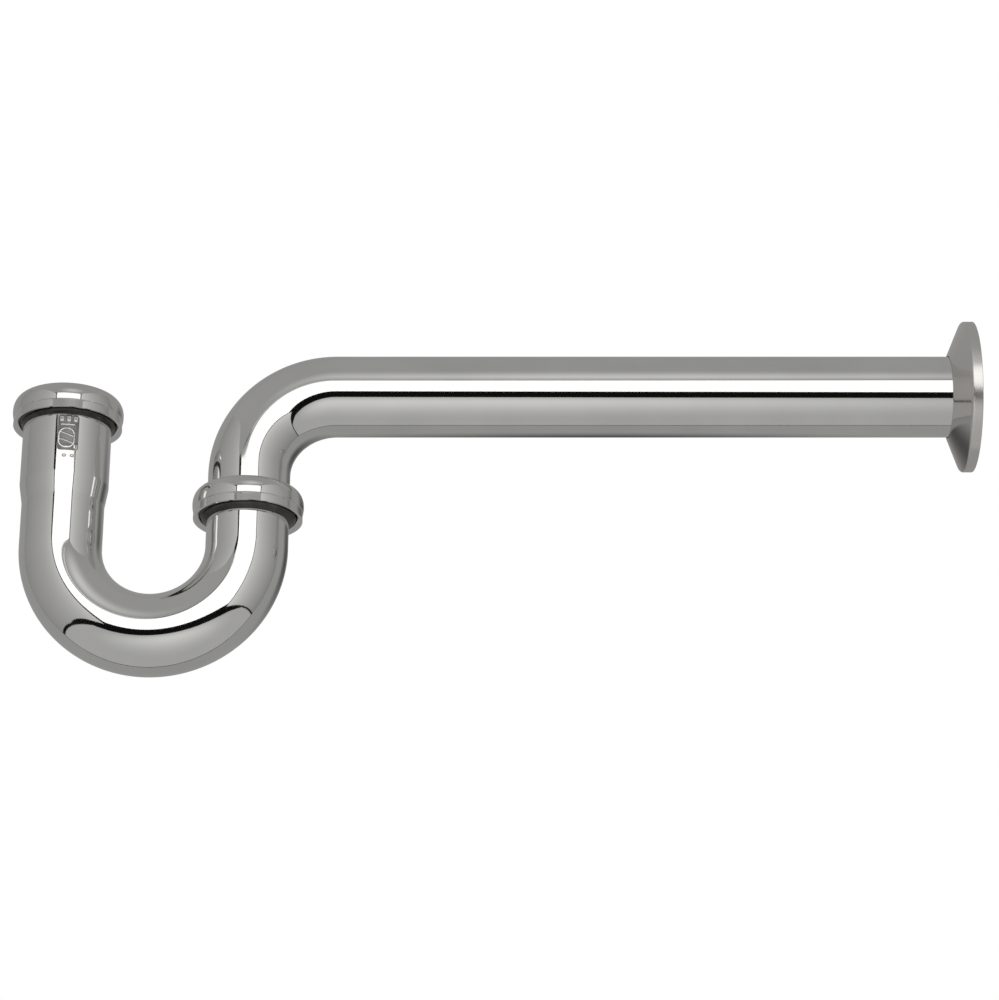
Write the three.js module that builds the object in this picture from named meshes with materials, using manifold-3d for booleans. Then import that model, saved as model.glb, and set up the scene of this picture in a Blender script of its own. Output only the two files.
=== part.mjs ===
// Chrome-plated brass P-trap for a wash basin, 1-1/4 in size, as it comes off the shelf.
//
// Units are millimetres and +Z is up. The origin is where the axis of the wall tube crosses the
// back plane of the wall flange, that is the face of the wall. +X runs along the tube into the wall.
// The trap reaches away from the wall along -X: the wall tube bends down at its far end, the J-bend
// turns the run back up, and its open socket takes the basin's tailpiece.
import * as THREE from 'three';
import { mergeVertices } from 'three/addons/utils/BufferGeometryUtils.js';
import Module from 'manifold-3d';

// ---- Driving dimensions -------------------------------------------------------------------------

// Tubing: 1-1/4 in outside diameter, 17 gauge brass.
const TUBE_RADIUS = 31.75 / 2;
const TUBE_WALL = 1.15;

// Wall tube: one quarter bend, then straight to the wall.
const OUTLET_AXIS_X = -282.4;
const WALL_BEND_RADIUS = 33.5;

// J-bend: two upright legs and a half-circle between them.
const TRAP_BEND_RADIUS = 35.8;
const TRAP_BEND_CENTRE_Z = -63.8;
const INLET_AXIS_X = OUTLET_AXIS_X - 2 * TRAP_BEND_RADIUS;

// The inlet leg is swaged out so that a tailpiece of the tube's own size slides into it.
const SOCKET_RADIUS = 17.1;
const SOCKET_STEP_LOW_Z = -46.4;
const SOCKET_STEP_HIGH_Z = -38.6;

// Slip nuts. Both are the same; heights inside a joint are measured up from its datum.
const INLET_JOINT_Z = -14.6;
const OUTLET_JOINT_Z = -53.5;
const NUT_RIM_HEIGHT = 1.2;
const NUT_TOP_HEIGHT = 12.6;
const NUT_SKIRT_RADIUS = 21.1;
const NUT_SKIRT_TOP = 4.3;
const NUT_SKIRT_TOP_RADIUS = 21.03;
const NUT_GROOVE_RADIUS = 20.95;
const NUT_GROOVE_HALF_WIDTH = 0.15;
const NUT_BEAD_LOW_RADIUS = 21.25;
const NUT_WIDEST_RADIUS = 21.5;
const NUT_WIDEST_HEIGHT = 6.8;
const NUT_TOP_RADIUS = 16.9;
const NUT_SHOULDER_POWER = 0.9;
const NUT_HOLE_RADIUS = 16.25;
const NUT_WEB = 2.0;
const NUT_COUNTERSINK_RADIUS = 20.1;
const NUT_COUNTERSINK_TOP = 2.1;

// Slip-joint thread: 11-1/2 turns to the inch, right-handed, 60 degree flanks.
const THREAD_PITCH = 25.4 / 11.5;
const THREAD_CORE_RADIUS = 17.75;
const THREAD_MALE_CREST_RADIUS = 18.6;
const THREAD_FEMALE_CREST_RADIUS = 18.05;
const THREAD_BORE_RADIUS = 18.9;
const THREAD_FLANK_GAP = 0.25;
const THREAD_FLANK_SLOPE = Math.tan(Math.PI / 6);
const THREAD_ROOT_OVERLAP = 0.3;
const NUT_THREAD_LOW = 2.2;
const NUT_THREAD_HIGH = 7.6;

// What the nuts squeeze, from the nut's web down.
const SEAT_GAP = 0.1;
const SLIP_RING_THICKNESS = 1.0;
const PACKING_RADIUS = 17.9;
const INLET_MOUTH_HEIGHT = 7.6;
const INLET_MOUTH_FLARE = 1.0;
const COLLAR_THICKNESS = 1.5;
const GASKET_THICKNESS = 1.5;
const FERRULE_FOOT = 0;
const FERRULE_TAPER = 1.0;
const BRAZE_GAP = 0.05;
const SLIDING_GAP = 0.3;

// Wall flange: a spun dish with a plain rim, held on the tube by a rubber ring behind its neck.
const FLANGE_RADIUS = 29.55;
const FLANGE_RIM_DEPTH = 3.6;
const FLANGE_DEPTH = 9.7;
const FLANGE_NECK_RADIUS = 16.1;
const FLANGE_EDGE_ROUND = 0.9;
const FLANGE_SHEET = 0.8;
const GRIP_RING_SECTION_RADIUS = 1.3;
const GRIP_RING_TUBE_GAP = 0.03;
const GRIP_RING_DISH_GAP = 0.15;

// Fineness of the round surfaces.
const SIDES = 32;
const FLANGE_SIDES = 40;
const THREAD_STEPS_PER_TURN = SIDES;
const WALL_BEND_STEPS = 9;
const TRAP_BEND_STEPS = 14;
const BEAD_STEPS = 2;
const SHOULDER_STEPS = 5;
const SOCKET_STEP_STATIONS = 3;
const GRIP_RING_SIDES = 8;

// ---- Materials ----------------------------------------------------------------------------------

const chrome = new THREE.MeshStandardMaterial({ color: 0xd8d9d8, roughness: 0.06, metalness: 1 });
const brass = new THREE.MeshStandardMaterial({ color: 0xb08d45, roughness: 0.35, metalness: 1 });
const rubber = new THREE.MeshStandardMaterial({ color: 0x1c1c1c, roughness: 0.8, metalness: 0 });

// ---- Solids of revolution and bent tubes ---------------------------------------------------------

// Closed solid of revolution about Y. The outline lists [radius, height] counter-clockwise.
function revolve(outline, sides = SIDES) {
  const points = outline.map(([radius, height]) => new THREE.Vector2(radius, height));
  points.push(points[0].clone());
  return new THREE.LatheGeometry(points, sides);
}

// Plain ring between two radii and two heights.
function ring(innerRadius, outerRadius, low, high) {
  return revolve([[innerRadius, low], [outerRadius, low], [outerRadius, high], [innerRadius, high]]);
}

// Centreline of a tube in the XZ plane: straight runs and circular bends, joined smoothly.
class TubeRoute {
  constructor(x, z, headingDegrees) {
    this.pieces = [];
    this.end = { x, z, heading: THREE.MathUtils.degToRad(headingDegrees) };
    this.length = 0;
  }

  add(length, curvature) {
    this.pieces.push({ start: this.end, from: this.length, length, curvature });
    this.length += length;
    this.end = this.along(this.pieces.at(-1), length);
    return this;
  }

  straight(length) {
    return this.add(length, 0);
  }

  // Positive degrees turn the heading from +X towards +Z.
  bend(radius, degrees) {
    const angle = THREE.MathUtils.degToRad(degrees);
    return this.add(radius * Math.abs(angle), Math.sign(angle) / radius);
  }

  along({ start, curvature }, distance) {
    const heading = start.heading + curvature * distance;
    if (curvature === 0) {
      return {
        x: start.x + distance * Math.cos(heading),
        z: start.z + distance * Math.sin(heading),
        heading,
      };
    }
    return {
      x: start.x + (Math.sin(heading) - Math.sin(start.heading)) / curvature,
      z: start.z - (Math.cos(heading) - Math.cos(start.heading)) / curvature,
      heading,
    };
  }

  at(distance) {
    const next = this.pieces.findIndex(({ from }) => from > distance);
    const piece = this.pieces.at(next < 0 ? -1 : Math.max(next - 1, 0));
    return this.along(piece, distance - piece.from);
  }
}

// A tube is a solid of revolution about its straightened centreline, laid along its route.
// Profile heights are distances along the route.
function layAlong(geometry, route) {
  const position = geometry.getAttribute('position');
  for (let i = 0; i < position.count; i += 1) {
    const { x, z, heading } = route.at(position.getY(i));
    const across = position.getX(i);
    const side = position.getZ(i);
    position.setXYZ(i, x + across * Math.sin(heading), -side, z - across * Math.cos(heading));
  }
  return geometry;
}

// Distances from one value to another, both ends included.
function spread(from, to, steps) {
  return Array.from({ length: steps + 1 }, (_, i) => from + ((to - from) * i) / steps);
}

// Outline of a tube wall through stations of [distance, outer radius, inner radius].
function tubeOutline(stations) {
  const outside = stations.map(([distance, outer]) => [outer, distance]);
  const inside = stations.map(([distance, , inner]) => [inner, distance]);
  return [...outside, ...inside.reverse()];
}

// ---- Booleans and threads -----------------------------------------------------------------------

const wasm = await Module();
wasm.setup();

function toSolid(geometry) {
  const bare = new THREE.BufferGeometry();
  bare.setAttribute('position', geometry.getAttribute('position'));
  bare.setIndex(geometry.getIndex());
  const merged = mergeVertices(bare, 1e-4);
  const mesh = new wasm.Mesh({
    numProp: 3,
    vertProperties: merged.getAttribute('position').array,
    triVerts: new Uint32Array(merged.getIndex().array),
  });
  return new wasm.Manifold(mesh);
}

function toGeometry(solid) {
  const mesh = solid.getMesh();
  const geometry = new THREE.BufferGeometry();
  geometry.setAttribute('position', new THREE.BufferAttribute(mesh.vertProperties, mesh.numProp));
  geometry.setIndex(new THREE.BufferAttribute(mesh.triVerts, 1));
  geometry.computeVertexNormals();
  return geometry;
}

// Right-handed helix about Y. Its frame keeps a section's x axis radial and its y axis upright.
class ThreadHelix extends THREE.Curve {
  constructor(low, turns) {
    super();
    this.low = low;
    this.turns = turns;
  }

  angle(t) {
    return 2 * Math.PI * this.turns * t;
  }

  getPoint(t, target = new THREE.Vector3()) {
    return target.set(0, this.low + THREAD_PITCH * this.turns * t, 0);
  }

  getPointAt(t, target) {
    return this.getPoint(t, target);
  }

  computeFrenetFrames(steps) {
    const angles = spread(0, 1, steps).map((t) => this.angle(t));
    return {
      tangents: angles.map((a) => new THREE.Vector3(Math.cos(a), 0, -Math.sin(a))),
      normals: angles.map((a) => new THREE.Vector3(Math.sin(a), 0, Math.cos(a))),
      binormals: angles.map(() => new THREE.Vector3(0, -1, 0)),
    };
  }
}

// Width of a ridge on its pitch line, which lies midway through the engaged depth.
const PITCH_LINE_RADIUS = (THREAD_MALE_CREST_RADIUS + THREAD_FEMALE_CREST_RADIUS) / 2;
const RIDGE_WIDTH = (THREAD_PITCH - 2 * THREAD_FLANK_GAP) / 2;

// Ridge of a thread, from its root to its crest, wound past both ends of the band it will fill.
// Male ridges stand half a pitch from the female ones, so the two mesh at rest.
function threadRidge(rootRadius, crestRadius, phase) {
  const outwards = Math.sign(crestRadius - rootRadius);
  const halfWidth = (radius) =>
    RIDGE_WIDTH / 2 - outwards * (radius - PITCH_LINE_RADIUS) * THREAD_FLANK_SLOPE;
  const buried = rootRadius - outwards * THREAD_ROOT_OVERLAP;
  const corners = [
    [buried, -halfWidth(rootRadius)],
    [crestRadius, -halfWidth(crestRadius)],
    [crestRadius, halfWidth(crestRadius)],
    [buried, halfWidth(rootRadius)],
  ];
  const section = new THREE.Shape(corners.map(([x, y]) => new THREE.Vector2(x, y)));
  const low = phase - THREAD_PITCH * 2;
  const turns = Math.ceil((NUT_THREAD_HIGH - low) / THREAD_PITCH) + 2;
  const extrudePath = new ThreadHelix(low, turns);
  return new THREE.ExtrudeGeometry(section, { steps: turns * THREAD_STEPS_PER_TURN, extrudePath });
}

// ---- Pieces -------------------------------------------------------------------------------------

function piece(name, geometry, material) {
  const mesh = new THREE.Mesh(geometry, material);
  mesh.name = name;
  return mesh;
}

const BORE_RADIUS = TUBE_RADIUS - TUBE_WALL;
const SOCKET_BORE_RADIUS = SOCKET_RADIUS - TUBE_WALL;
const WEB_UNDERSIDE = NUT_TOP_HEIGHT - NUT_WEB;
const SLIP_RING_LOW = WEB_UNDERSIDE - SEAT_GAP - SLIP_RING_THICKNESS;
const COLLAR_LOW = SLIP_RING_LOW - SEAT_GAP - COLLAR_THICKNESS;
const GASKET_LOW = COLLAR_LOW - SEAT_GAP - GASKET_THICKNESS;
const OUTLET_MOUTH_HEIGHT = GASKET_LOW - SEAT_GAP;

// Slip nut: skirt, groove, bead and shoulder outside; web, female thread and countersink inside.
function slipNut() {
  const outside = [
    [NUT_SKIRT_RADIUS, NUT_RIM_HEIGHT],
    [NUT_SKIRT_TOP_RADIUS, NUT_SKIRT_TOP],
    [NUT_GROOVE_RADIUS, NUT_SKIRT_TOP + NUT_GROOVE_HALF_WIDTH],
  ];
  const beadLow = NUT_SKIRT_TOP + 2 * NUT_GROOVE_HALF_WIDTH;
  for (const t of spread(0, 1, BEAD_STEPS).slice(0, -1)) {
    outside.push([
      NUT_WIDEST_RADIUS - (NUT_WIDEST_RADIUS - NUT_BEAD_LOW_RADIUS) * (1 - t) ** 2,
      beadLow + (NUT_WIDEST_HEIGHT - beadLow) * t,
    ]);
  }
  for (const angle of spread(0, Math.PI / 2, SHOULDER_STEPS)) {
    const out = Math.cos(angle) ** NUT_SHOULDER_POWER;
    const up = Math.sin(angle) ** NUT_SHOULDER_POWER;
    outside.push([
      NUT_TOP_RADIUS + (NUT_WIDEST_RADIUS - NUT_TOP_RADIUS) * (angle === Math.PI / 2 ? 0 : out),
      NUT_WIDEST_HEIGHT + (NUT_TOP_HEIGHT - NUT_WIDEST_HEIGHT) * up,
    ]);
  }
  const inside = [
    [NUT_HOLE_RADIUS, NUT_TOP_HEIGHT],
    [NUT_HOLE_RADIUS, WEB_UNDERSIDE],
    [THREAD_BORE_RADIUS, WEB_UNDERSIDE],
    [THREAD_BORE_RADIUS, NUT_COUNTERSINK_TOP],
    [NUT_COUNTERSINK_RADIUS, NUT_RIM_HEIGHT],
  ];
  const body = toSolid(revolve([...outside, ...inside]));
  const ridge = toSolid(threadRidge(THREAD_BORE_RADIUS, THREAD_FEMALE_CREST_RADIUS, 0));
  const buriedRadius = THREAD_BORE_RADIUS + THREAD_ROOT_OVERLAP;
  const taper = THREAD_BORE_RADIUS - THREAD_FEMALE_CREST_RADIUS;
  const band = toSolid(revolve([
    [THREAD_BORE_RADIUS, NUT_THREAD_LOW],
    [buriedRadius, NUT_THREAD_LOW],
    [buriedRadius, NUT_THREAD_HIGH],
    [THREAD_BORE_RADIUS, NUT_THREAD_HIGH],
    [THREAD_FEMALE_CREST_RADIUS, NUT_THREAD_HIGH - taper],
    [THREAD_FEMALE_CREST_RADIUS, NUT_THREAD_LOW + taper],
  ]));
  return toGeometry(body.add(ridge.intersect(band)));
}

// Threaded ferrule brazed on a tube end, from its tapered foot up to the tube's mouth.
function threadedFerrule(tubeRadius, mouthHeight) {
  const threadLow = FERRULE_FOOT + FERRULE_TAPER;
  const innerRadius = tubeRadius + BRAZE_GAP;
  const footRadius = innerRadius + BRAZE_GAP * 4;
  const core = toSolid(revolve([
    [innerRadius, FERRULE_FOOT],
    [footRadius, FERRULE_FOOT],
    [THREAD_CORE_RADIUS, threadLow],
    [THREAD_CORE_RADIUS, mouthHeight],
    [innerRadius, mouthHeight],
  ]));
  const ridge = toSolid(threadRidge(THREAD_CORE_RADIUS, THREAD_MALE_CREST_RADIUS, THREAD_PITCH / 2));
  const buriedRadius = THREAD_CORE_RADIUS - THREAD_ROOT_OVERLAP;
  const taper = THREAD_MALE_CREST_RADIUS - THREAD_CORE_RADIUS;
  const band = toSolid(revolve([
    [buriedRadius, threadLow],
    [THREAD_CORE_RADIUS, threadLow],
    [THREAD_MALE_CREST_RADIUS, threadLow + taper],
    [THREAD_MALE_CREST_RADIUS, mouthHeight - taper],
    [THREAD_CORE_RADIUS, mouthHeight],
    [buriedRadius, mouthHeight],
  ]));
  return toGeometry(core.add(ridge.intersect(band)));
}

// Flat ring between the nut's web and the packing, which keeps the turning nut off the rubber.
function slipRing() {
  return ring(TUBE_RADIUS + SLIDING_GAP, PACKING_RADIUS, SLIP_RING_LOW, SLIP_RING_LOW + SLIP_RING_THICKNESS);
}

// Slip-joint washer: a flat lip over the ferrule and a bevel that wedges into the flared mouth.
function slipWasher() {
  const top = SLIP_RING_LOW - SEAT_GAP;
  const lipLow = INLET_MOUTH_HEIGHT + SEAT_GAP;
  const bevelLow = lipLow - INLET_MOUTH_FLARE;
  const boreRadius = TUBE_RADIUS + BRAZE_GAP;
  return revolve([
    [boreRadius, bevelLow],
    [boreRadius + SEAT_GAP, bevelLow],
    [boreRadius + SEAT_GAP + INLET_MOUTH_FLARE * 0.8, lipLow],
    [PACKING_RADIUS, lipLow],
    [PACKING_RADIUS, top],
    [boreRadius, top],
  ]);
}

// Wall tube: from the collar at its foot up, round the quarter bend and straight to the wall.
function wallTube() {
  const footZ = OUTLET_JOINT_Z + COLLAR_LOW;
  const rise = -WALL_BEND_RADIUS - footZ;
  const run = -(OUTLET_AXIS_X + WALL_BEND_RADIUS);
  const route = new TubeRoute(OUTLET_AXIS_X, footZ, 90)
    .straight(rise)
    .bend(WALL_BEND_RADIUS, -90)
    .straight(run);
  const stations = [0, ...spread(rise, route.length - run, WALL_BEND_STEPS), route.length];
  const walls = stations.map((distance) => [distance, TUBE_RADIUS, BORE_RADIUS]);
  return layAlong(revolve(tubeOutline(walls)), route);
}

// J-bend: down from its outlet mouth, round the half-circle, and up through the swaged socket.
function jBend() {
  const outletMouthZ = OUTLET_JOINT_Z + OUTLET_MOUTH_HEIGHT;
  const inletMouthZ = INLET_JOINT_Z + INLET_MOUTH_HEIGHT;
  const drop = outletMouthZ - TRAP_BEND_CENTRE_Z;
  const rise = inletMouthZ - TRAP_BEND_CENTRE_Z;
  const route = new TubeRoute(OUTLET_AXIS_X, outletMouthZ, -90)
    .straight(drop)
    .bend(TRAP_BEND_RADIUS, -180)
    .straight(rise);
  const atHeight = (z) => route.length - (inletMouthZ - z);
  const plain = [0, ...spread(drop, route.length - rise, TRAP_BEND_STEPS)];
  const walls = plain.map((distance) => [distance, TUBE_RADIUS, BORE_RADIUS]);
  for (const t of spread(0, 1, SOCKET_STEP_STATIONS)) {
    const swell = (SOCKET_RADIUS - TUBE_RADIUS) * (3 * t ** 2 - 2 * t ** 3);
    const distance = atHeight(SOCKET_STEP_LOW_Z + (SOCKET_STEP_HIGH_Z - SOCKET_STEP_LOW_Z) * t);
    walls.push([distance, TUBE_RADIUS + swell, BORE_RADIUS + swell]);
  }
  const flareLow = route.length - INLET_MOUTH_FLARE;
  walls.push([flareLow, SOCKET_RADIUS, SOCKET_BORE_RADIUS]);
  walls.push([route.length, SOCKET_RADIUS, SOCKET_BORE_RADIUS + INLET_MOUTH_FLARE]);
  return layAlong(revolve(tubeOutline(walls)), route);
}

// Wall flange: heights run towards the wall and end at its back plane, height 0.
function wallFlange() {
  const coneRise = FLANGE_DEPTH - FLANGE_RIM_DEPTH - FLANGE_EDGE_ROUND;
  const coneSpread = FLANGE_RADIUS - FLANGE_EDGE_ROUND - FLANGE_NECK_RADIUS;
  const sheetStep = FLANGE_SHEET * Math.hypot(coneRise, coneSpread) / coneSpread;
  const innerRim = FLANGE_RADIUS - FLANGE_SHEET;
  const innerConeHeight = (radius) =>
    -FLANGE_DEPTH + sheetStep + (coneRise * (radius - FLANGE_NECK_RADIUS)) / coneSpread;
  const edgeInset = FLANGE_EDGE_ROUND * (1 - Math.SQRT1_2);
  return revolve([
    [FLANGE_NECK_RADIUS, -FLANGE_DEPTH],
    [FLANGE_RADIUS - FLANGE_EDGE_ROUND, -FLANGE_RIM_DEPTH - FLANGE_EDGE_ROUND],
    [FLANGE_RADIUS - edgeInset, -FLANGE_RIM_DEPTH - edgeInset],
    [FLANGE_RADIUS, -FLANGE_RIM_DEPTH + FLANGE_EDGE_ROUND],
    [FLANGE_RADIUS, 0],
    [innerRim, 0],
    [innerRim, innerConeHeight(innerRim)],
    [FLANGE_NECK_RADIUS, innerConeHeight(FLANGE_NECK_RADIUS)],
  ], FLANGE_SIDES);
}

// Rubber ring that grips the tube and seats in the dish just behind its neck.
function gripRing() {
  const ringRadius = TUBE_RADIUS + GRIP_RING_TUBE_GAP + GRIP_RING_SECTION_RADIUS;
  const coneRise = FLANGE_DEPTH - FLANGE_RIM_DEPTH - FLANGE_EDGE_ROUND;
  const coneSpread = FLANGE_RADIUS - FLANGE_EDGE_ROUND - FLANGE_NECK_RADIUS;
  const coneSlant = Math.hypot(coneRise, coneSpread);
  const standOff = FLANGE_SHEET + GRIP_RING_DISH_GAP + GRIP_RING_SECTION_RADIUS;
  const behindNeck = (standOff * coneSlant + (ringRadius - FLANGE_NECK_RADIUS) * coneRise) / coneSpread;
  const geometry = new THREE.TorusGeometry(ringRadius, GRIP_RING_SECTION_RADIUS, GRIP_RING_SIDES, SIDES);
  geometry.rotateX(Math.PI / 2);
  geometry.translate(0, behindNeck - FLANGE_DEPTH, 0);
  return geometry;
}

// ---- Assembly -----------------------------------------------------------------------------------

// Group whose local Y axis points up, with its origin on a joint's datum.
function jointAt(x, z) {
  const group = new THREE.Group();
  group.position.set(x, 0, z);
  group.rotation.x = Math.PI / 2;
  return group;
}

const inletJoint = jointAt(INLET_AXIS_X, INLET_JOINT_Z);
inletJoint.add(piece('inlet_nut', slipNut(), chrome));
inletJoint.add(piece('inlet_slip_ring', slipRing(), brass));
inletJoint.add(piece('inlet_washer', slipWasher(), rubber));
const inletFerrule = threadedFerrule(SOCKET_RADIUS, INLET_MOUTH_HEIGHT);
inletJoint.add(piece('inlet_ferrule', inletFerrule, brass));

const outletJoint = jointAt(OUTLET_AXIS_X, OUTLET_JOINT_Z);
outletJoint.add(piece('outlet_nut', slipNut(), chrome));
outletJoint.add(piece('outlet_slip_ring', slipRing(), brass));
const collar = ring(TUBE_RADIUS + BRAZE_GAP, PACKING_RADIUS, COLLAR_LOW, COLLAR_LOW + COLLAR_THICKNESS);
outletJoint.add(piece('wall_tube_collar', collar, brass));
const gasket = ring(BORE_RADIUS + BRAZE_GAP, PACKING_RADIUS, GASKET_LOW, GASKET_LOW + GASKET_THICKNESS);
outletJoint.add(piece('outlet_gasket', gasket, rubber));
const outletFerrule = threadedFerrule(TUBE_RADIUS, OUTLET_MOUTH_HEIGHT);
outletJoint.add(piece('outlet_ferrule', outletFerrule, brass));

// Group whose local Y axis points into the wall, with its origin on the wall's face.
const wallEnd = new THREE.Group();
wallEnd.rotation.z = -Math.PI / 2;
wallEnd.add(piece('wall_flange', wallFlange(), chrome));
wallEnd.add(piece('flange_grip_ring', gripRing(), rubber));

const trap = new THREE.Group();
trap.add(piece('wall_tube', wallTube(), chrome));
trap.add(piece('j_bend', jBend(), chrome));
trap.add(inletJoint, outletJoint, wallEnd);

export default trap;
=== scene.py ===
"""Chrome-plated P-trap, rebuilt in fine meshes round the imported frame.

Lengths are in metres in the frame's own axes: +X runs along the wall tube into the wall, +Z is up.
Details that the frame doesn't give are named in millimetres and multiplied by MM.
"""

import math

import bpy
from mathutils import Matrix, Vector


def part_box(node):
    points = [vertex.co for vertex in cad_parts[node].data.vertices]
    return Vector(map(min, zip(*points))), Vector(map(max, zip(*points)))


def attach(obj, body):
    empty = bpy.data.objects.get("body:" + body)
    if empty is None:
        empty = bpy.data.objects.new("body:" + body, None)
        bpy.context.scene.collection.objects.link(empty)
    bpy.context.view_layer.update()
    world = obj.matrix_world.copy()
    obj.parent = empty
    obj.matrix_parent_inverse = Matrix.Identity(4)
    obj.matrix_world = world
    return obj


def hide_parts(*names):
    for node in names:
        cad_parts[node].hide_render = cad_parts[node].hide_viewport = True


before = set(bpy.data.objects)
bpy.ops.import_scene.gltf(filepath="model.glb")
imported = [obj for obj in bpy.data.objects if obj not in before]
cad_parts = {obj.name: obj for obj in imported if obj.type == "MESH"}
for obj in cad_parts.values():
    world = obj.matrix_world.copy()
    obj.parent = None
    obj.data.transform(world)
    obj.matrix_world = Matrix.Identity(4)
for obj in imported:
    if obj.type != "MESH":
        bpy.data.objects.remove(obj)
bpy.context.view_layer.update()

MM = 0.001

# ---- Measures: boxes in the frame first, then what its boxes don't give --------------------------


def middle(node):
    """Centre of a CAD node's box."""
    low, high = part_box(node)
    return (low + high) / 2


TUBE_RADIUS = (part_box("wall_tube")[1].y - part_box("wall_tube")[0].y) / 2
SOCKET_RADIUS = (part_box("j_bend")[1].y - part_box("j_bend")[0].y) / 2
NUT_RADIUS = (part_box("inlet_nut")[1].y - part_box("inlet_nut")[0].y) / 2
FLANGE_RADIUS = (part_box("wall_flange")[1].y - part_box("wall_flange")[0].y) / 2
FLANGE_DEPTH = -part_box("wall_flange")[0].x
PACKING_RADIUS = (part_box("inlet_washer")[1].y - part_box("inlet_washer")[0].y) / 2

INLET_X = middle("inlet_nut").x
OUTLET_X = middle("outlet_nut").x
INLET_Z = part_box("inlet_ferrule")[0].z
OUTLET_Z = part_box("outlet_ferrule")[0].z
NUT_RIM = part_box("inlet_nut")[0].z - INLET_Z
NUT_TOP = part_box("inlet_nut")[1].z - INLET_Z

TRAP_BEND_RADIUS = (OUTLET_X - INLET_X) / 2
TRAP_CENTRE_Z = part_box("j_bend")[0].z + TUBE_RADIUS + TRAP_BEND_RADIUS
INLET_MOUTH_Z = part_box("inlet_ferrule")[1].z
OUTLET_MOUTH_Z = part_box("outlet_ferrule")[1].z
WALL_TUBE_FOOT_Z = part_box("wall_tube")[0].z
THREAD_MALE_CREST_RADIUS = (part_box("inlet_ferrule")[1].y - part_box("inlet_ferrule")[0].y) / 2

WALL_BEND_RADIUS = 33.5 * MM
TUBE_WALL = 1.15 * MM
BORE_RADIUS = TUBE_RADIUS - TUBE_WALL
SOCKET_BORE_RADIUS = SOCKET_RADIUS - TUBE_WALL
SOCKET_STEP_LOW_Z = -46.4 * MM
SOCKET_STEP_HIGH_Z = -38.6 * MM

THREADS_PER_INCH = 11.5
THREAD_PITCH = 25.4 / THREADS_PER_INCH * MM
THREAD_CORE_RADIUS = 17.75 * MM
THREAD_FEMALE_CREST_RADIUS = 18.05 * MM
THREAD_BORE_RADIUS = 18.9 * MM

CLOSE_GAP = 0.05 * MM
SLIDING_GAP = 0.3 * MM
HAIR_EDGE = 0.05 * MM
FINE_EDGE = 0.1 * MM
CRISP_EDGE = 0.15 * MM
LIGHT_EDGE = 0.2 * MM
PLAIN_EDGE = 0.25 * MM
SOFT_EDGE = 0.3 * MM

# ---- Fineness ------------------------------------------------------------------------------------

TUBE_SIDES = 128
NUT_SIDES = 160
FLANGE_SIDES = 192
TUBE_ROW = 1.2 * MM
NUT_ROW = 0.35 * MM
THREAD_ROW = 0.09 * MM
FLANGE_ROW = 0.6 * MM
FILLET_STEPS = 5
NUT_BEAD_STEPS = 12
NUT_SHOULDER_STEPS = 24
GRIP_RING_STEPS = 32
SHARP_ANGLE = math.radians(38)

# ---- Outlines ------------------------------------------------------------------------------------

# The most of a side that one corner's fillet may take up.
FILLET_SHARE = 0.48


def filleted(corners):
    """Closed outline with rounded corners. Each corner is (radius, height, fillet radius)."""
    points = []
    for i, (radius, height, fillet) in enumerate(corners):
        corner = Vector((radius, height))
        before = Vector(corners[i - 1][:2]) - corner
        after = Vector(corners[(i + 1) % len(corners)][:2]) - corner
        if fillet <= 0:
            points.append(corner)
            continue
        half = before.angle(after) / 2
        longest = FILLET_SHARE * min(before.length, after.length)
        reach = min(fillet / math.tan(half), longest)
        start = corner + before.normalized() * reach
        end = corner + after.normalized() * reach
        for step in range(FILLET_STEPS + 1):
            t = step / FILLET_STEPS
            points.append(start * (1 - t) ** 2 + corner * (2 * t * (1 - t)) + end * t**2)
    return points


def divided(points, longest):
    """The same closed outline with no step longer than the longest one allowed."""
    result = []
    for i, point in enumerate(points):
        following = points[(i + 1) % len(points)]
        pieces = max(1, math.ceil((following - point).length / longest))
        for step in range(pieces):
            result.append(point.lerp(following, step / pieces))
    return result


# ---- Placing -------------------------------------------------------------------------------------


def upright(x, z):
    """Places a radius, turn and height round an upright axis."""

    def place(radius, turn, height):
        return (x + radius * math.cos(turn), radius * math.sin(turn), z + height)

    return place


def into_wall(radius, turn, height):
    """Places a radius, turn and height round the wall tube's axis, height 0 on the wall."""
    return (height, radius * math.cos(turn), radius * math.sin(turn))


class TubeRoute:
    """Centreline of a tube in the XZ plane: straight runs and circular bends, joined smoothly."""

    def __init__(self, x, z, heading):
        self.pieces = []
        self.end = (x, z, math.radians(heading))
        self.length = 0.0

    def add(self, length, curvature):
        self.pieces.append((self.length, self.end, curvature))
        self.length += length
        self.end = self.at(self.length)
        return self

    def straight(self, length):
        return self.add(length, 0.0)

    def bend(self, radius, degrees):
        """Positive degrees turn the heading from +X towards +Z."""
        angle = math.radians(degrees)
        return self.add(radius * abs(angle), math.copysign(1 / radius, angle))

    def at(self, distance):
        """(x, z, heading) at a distance along the route."""
        began, (x, z, heading), curvature = [p for p in self.pieces if p[0] <= max(distance, 0.0)][-1]
        run = distance - began
        turned = heading + curvature * run
        if curvature == 0:
            return (x + run * math.cos(heading), z + run * math.sin(heading), heading)
        return (
            x + (math.sin(turned) - math.sin(heading)) / curvature,
            z - (math.cos(turned) - math.cos(heading)) / curvature,
            turned,
        )

    def place(self, radius, turn, distance):
        x, z, heading = self.at(distance)
        across = radius * math.cos(turn)
        return (x + across * math.sin(heading), radius * math.sin(turn), z - across * math.cos(heading))


# ---- Meshes --------------------------------------------------------------------------------------


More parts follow.
